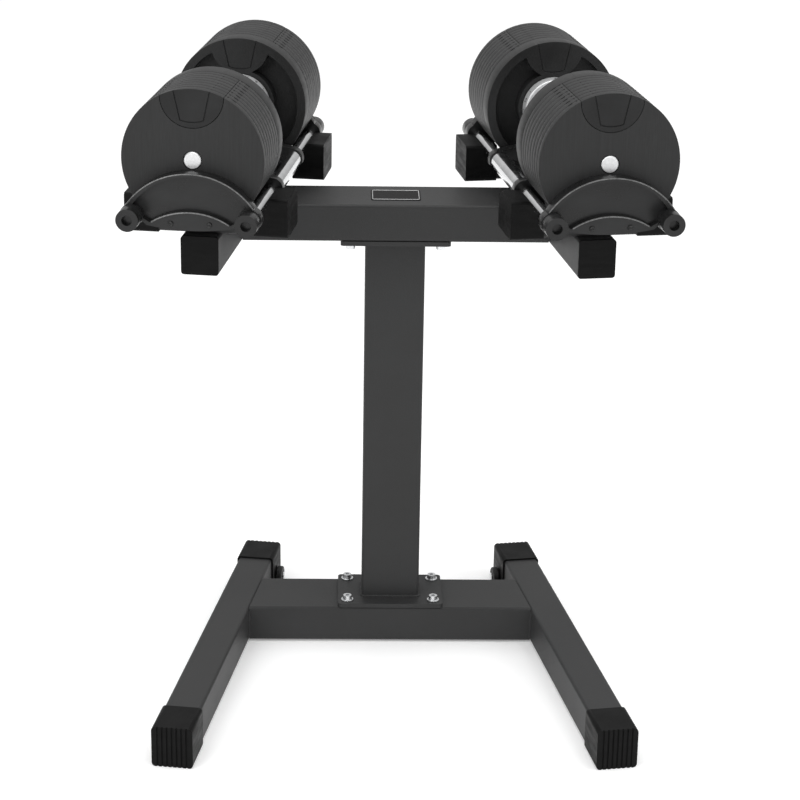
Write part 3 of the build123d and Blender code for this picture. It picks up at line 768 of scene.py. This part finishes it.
def rim_key(keys, axis, along, angle, radius, half_across, half_along):
    """One raised key with tapered sides, sunk into the rims on both sides of a gap."""
    corners = []
    for lift, scale in ((-KEY_DEPTH, 1.0), (KEY_LIFT, KEY_TAPER)):
        ring = []
        for a, b in ((-1, -1), (1, -1), (1, 0), (1, 1), (-1, 1), (-1, 0)):
            turn = angle + b * half_across * scale / radius
            place = along + a * half_along * scale
            ring.append(keys.verts.new(axis.polar(place, radius + lift, turn)))
        corners.append(ring)
        keys.faces.new(ring)
    low, high = corners
    for step in range(len(low)):
        onward = (step + 1) % len(low)
        keys.faces.new((low[step], low[onward], high[onward], high[step]))


def rim_keys(side, end_name):
    """Rows of small keys across the gaps between plates, on both sides of the inserts."""
    axis = AXES[side]
    end = ENDS[end_name]
    node = f"{side}_{end_name}_plates"
    reach = axis.reach(node)
    radius = axis.radii(node)[1]
    inner, outer = (reach[1], reach[0]) if end < 0 else reach
    pitch = (abs(outer - inner) + PLATE_GAP) / PLATES_PER_END
    keys = bmesh.new()
    for gap in range(PLATES_PER_END):
        along = inner + end * (gap * pitch - PLATE_GAP / 2)
        for angle, half_across, half_along in KEY_SHAPES:
            for hand in (-1, 1):
                rim_key(keys, axis, along, hand * angle, radius, half_across, half_along)
    name = f"{side}_{end_name}_rim_keys"
    make_piece(name, keys, f"{side}_dumbbell", material=KEY_BLACK)


# ---- Stage, light and camera -------------------------------------------------------------------
FLOOR_HALF = 60.0
FLOOR_GLOW = 0.2


def pale_floor():
    """Plain pale floor, faintly mottled, with a little glow so that it stays white far away."""
    paint = Paint("pale_floor", specular=0.2)
    mottle = paint.noise(1.5, 3)
    paint.colour(paint.ramp(mottle, (0.3, grey(0.93)), (0.7, grey(0.95))))
    paint.roughness(paint.spread(mottle, 0.7, 0.8))
    paint.shader.inputs["Emission Color"].default_value = (1, 1, 1, 1)
    paint.shader.inputs["Emission Strength"].default_value = FLOOR_GLOW
    mesh = bpy.data.meshes.new("floor")
    signs = ((-1, -1), (1, -1), (1, 1), (-1, 1))
    corners = [(x * FLOOR_HALF, y * FLOOR_HALF, 0) for x, y in signs]
    mesh.from_pydata(corners, [], [(0, 1, 2, 3)])
    mesh.materials.append(paint.material)
    floor = bpy.data.objects.new("floor", mesh)
    bpy.context.scene.collection.objects.link(floor)


def soft_box(name, place, target, size, watts):
    """Rectangular area light aimed at a point."""
    light = bpy.data.lights.new(name, "AREA")
    light.shape = "RECTANGLE"
    light.size, light.size_y = size
    light.energy = watts
    holder = bpy.data.objects.new(name, light)
    bpy.context.scene.collection.objects.link(holder)
    holder.location = place
    way = Vector(target) - Vector(place)
    holder.rotation_euler = way.to_track_quat("-Z", "Y").to_euler()


SKY_STRENGTH = 0.95
SKY_HORIZON = (0.4, 0.4, 0.4, 1)
SKY_TOP = (1, 1, 1, 1)
SKY_TOP_PLACE = 0.7


def sky():
    """Studio dome: brightest overhead, greyer at the horizon."""
    world = bpy.data.worlds.new("studio")
    world.use_nodes = True
    bpy.context.scene.world = world
    tree = world.node_tree
    coords = tree.nodes.new("ShaderNodeTexCoord")
    split = tree.nodes.new("ShaderNodeSeparateXYZ")
    ramp = tree.nodes.new("ShaderNodeValToRGB")
    tree.links.new(coords.outputs["Generated"], split.inputs["Vector"])
    tree.links.new(split.outputs["Z"], ramp.inputs["Fac"])
    tree.links.new(ramp.outputs["Color"], tree.nodes["Background"].inputs["Color"])
    elements = ramp.color_ramp.elements
    elements[0].position = 0.0
    elements[0].color = SKY_HORIZON
    elements[1].position = SKY_TOP_PLACE
    elements[1].color = SKY_TOP
    tree.nodes["Background"].inputs["Strength"].default_value = SKY_STRENGTH


def lights():
    """Dome, a large box overhead, and smaller ones at the front left and on the right."""
    sky()
    soft_box("overhead", (0.0, -0.2, 2.8), (0, 0.0, 0.4), (2.6, 2.0), 27)
    soft_box("front_left", (-2.2, -2.6, 1.9), (0, 0, 0.5), (1.4, 1.8), 26)
    soft_box("right_side", (2.6, -0.6, 1.5), (0, 0, 0.5), (1.2, 1.8), 14)


CAMERA_PLACE = (-0.0754, -2.9601, 1.4585)
CAMERA_YAW = radians(1.604)
CAMERA_PITCH = radians(20.042)
CAMERA_ROLL = radians(0.956)
CAMERA_LENS = 106.63
CAMERA_REACH = 200.0


def camera():
    """Long lens, a little above the dumbbells and looking down at them."""
    level = Vector((sin(CAMERA_YAW), cos(CAMERA_YAW), 0))
    forward = level * cos(CAMERA_PITCH) - UP * sin(CAMERA_PITCH)
    right = Vector((cos(CAMERA_YAW), -sin(CAMERA_YAW), 0))
    upward = right.cross(forward)
    turned_right = right * cos(CAMERA_ROLL) + upward * sin(CAMERA_ROLL)
    turned_up = upward * cos(CAMERA_ROLL) - right * sin(CAMERA_ROLL)
    data = bpy.data.cameras.new("camera")
    data.lens = CAMERA_LENS
    data.clip_end = CAMERA_REACH
    holder = bpy.data.objects.new("camera", data)
    bpy.context.scene.collection.objects.link(holder)
    turn = Matrix((turned_right, turned_up, -forward)).transposed().to_4x4()
    holder.matrix_world = Matrix.Translation(CAMERA_PLACE) @ turn
    bpy.context.scene.camera = holder


# ---- The whole scene ---------------------------------------------------------------------------
finish_nodes()
round_edges()
column_welds()
crossbar_welds("base_crossbar", "base_crossbar_welds")
crossbar_welds("top_crossbar", "top_crossbar_welds")
badge_border()
for side in SIDES:
    bracket_beads(side)
    knurled_grip(side)
    dial_numbers(side)
    for end_name in ENDS:
        rim_keys(side, end_name)
pale_floor()
lights()
camera()
bpy.context.scene.view_settings.view_transform = "Standard"
